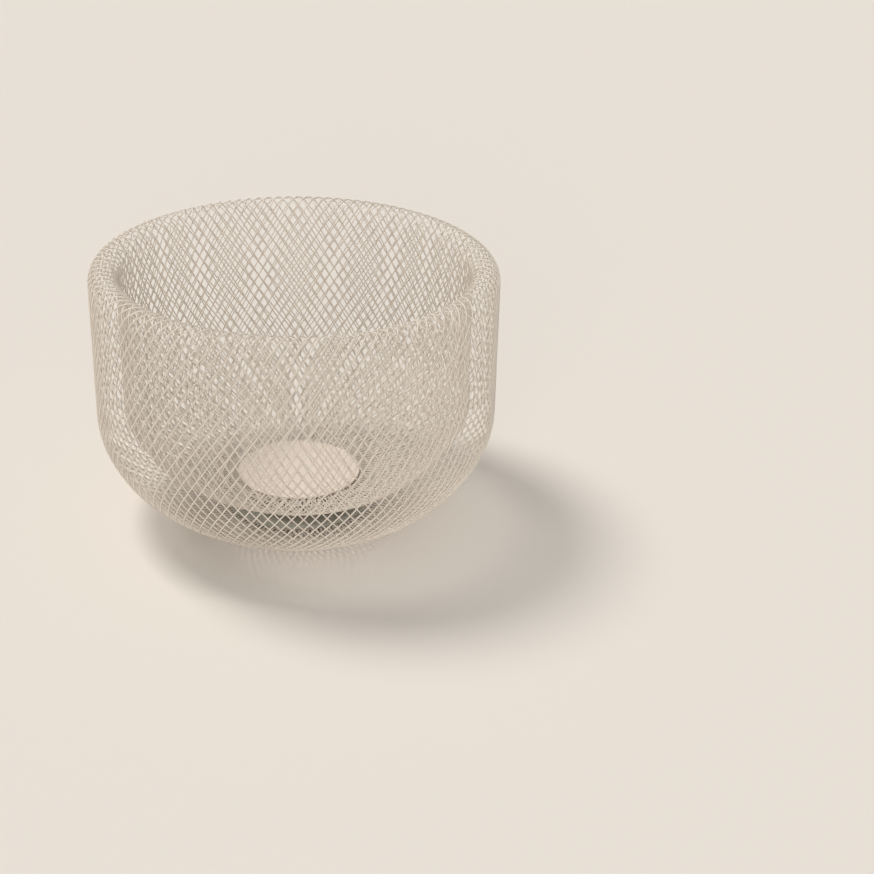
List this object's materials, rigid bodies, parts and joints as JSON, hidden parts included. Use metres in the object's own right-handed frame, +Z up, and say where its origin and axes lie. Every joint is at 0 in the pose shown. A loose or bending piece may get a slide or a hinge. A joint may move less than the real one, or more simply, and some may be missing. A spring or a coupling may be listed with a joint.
{
  "type": "wire mesh bowl",
  "caption": "Round double-walled bowl of diamond wire mesh, folded over at a soft rim, with a flat floor disc, for fruit or storage.",
  "frame": {"origin": "on the table under the centre of the bowl", "axes": "+Z up along the bowl's axis of symmetry"},
  "size_m": [0.25, 0.25, 0.1665],
  "materials": {
    "wire": "satin powder coat",
    "disc": "matt powder coat",
    "base": "matt powder coat",
    "zinc": "zinc plated",
    "felt": "pressed felt"
  },
  "bodies": {
    "root": {"right_hand_wires": "wire", "left_hand_wires": "wire", "floor_disc": "disc", "threaded_boss": "zinc", "inner_clamp_plate": "disc", "spacer_tube": "zinc", "base_disc": "base", "bottom_plate": "disc", "centre_screw": "zinc", "felt_ring": "felt"}
  },
  "joints": []
}
